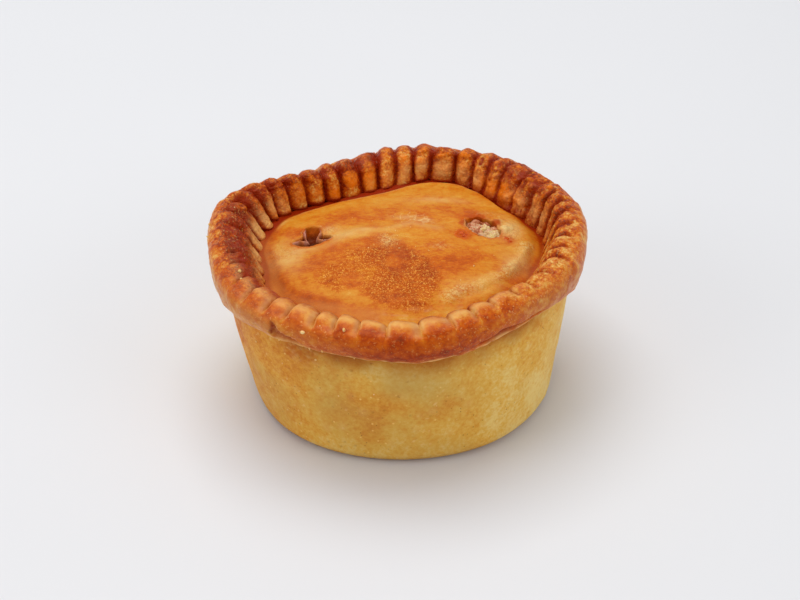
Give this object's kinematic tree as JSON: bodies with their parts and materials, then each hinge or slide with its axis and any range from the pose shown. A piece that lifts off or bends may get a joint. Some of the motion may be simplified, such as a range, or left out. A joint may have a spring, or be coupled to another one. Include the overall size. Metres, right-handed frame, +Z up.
{
  "type": "pork pie",
  "caption": "Individual raised pork pie: tapered pastry case, browned lid with a crimped rim, and steam vents through which the pork shows.",
  "frame": {"origin": "middle of the pie's bounding box, on the surface that it stands on", "axes": "+Z up through the lid, -Y towards the pie's front, where the lip is highest, +X to its right, towards the open vent"},
  "size_m": [0.085, 0.0874, 0.0402],
  "materials": {
    "case_pastry": "matt pale gold hot-water-crust pastry",
    "browned_pastry": "egg-glazed pastry, deep golden brown, part glossy",
    "cooked_pork": "moist cooked pork with jelly"
  },
  "bodies": {
    "root": {"pastry_case": "case_pastry", "crimped_lid": "browned_pastry", "pork_filling": "cooked_pork"}
  },
  "joints": []
}
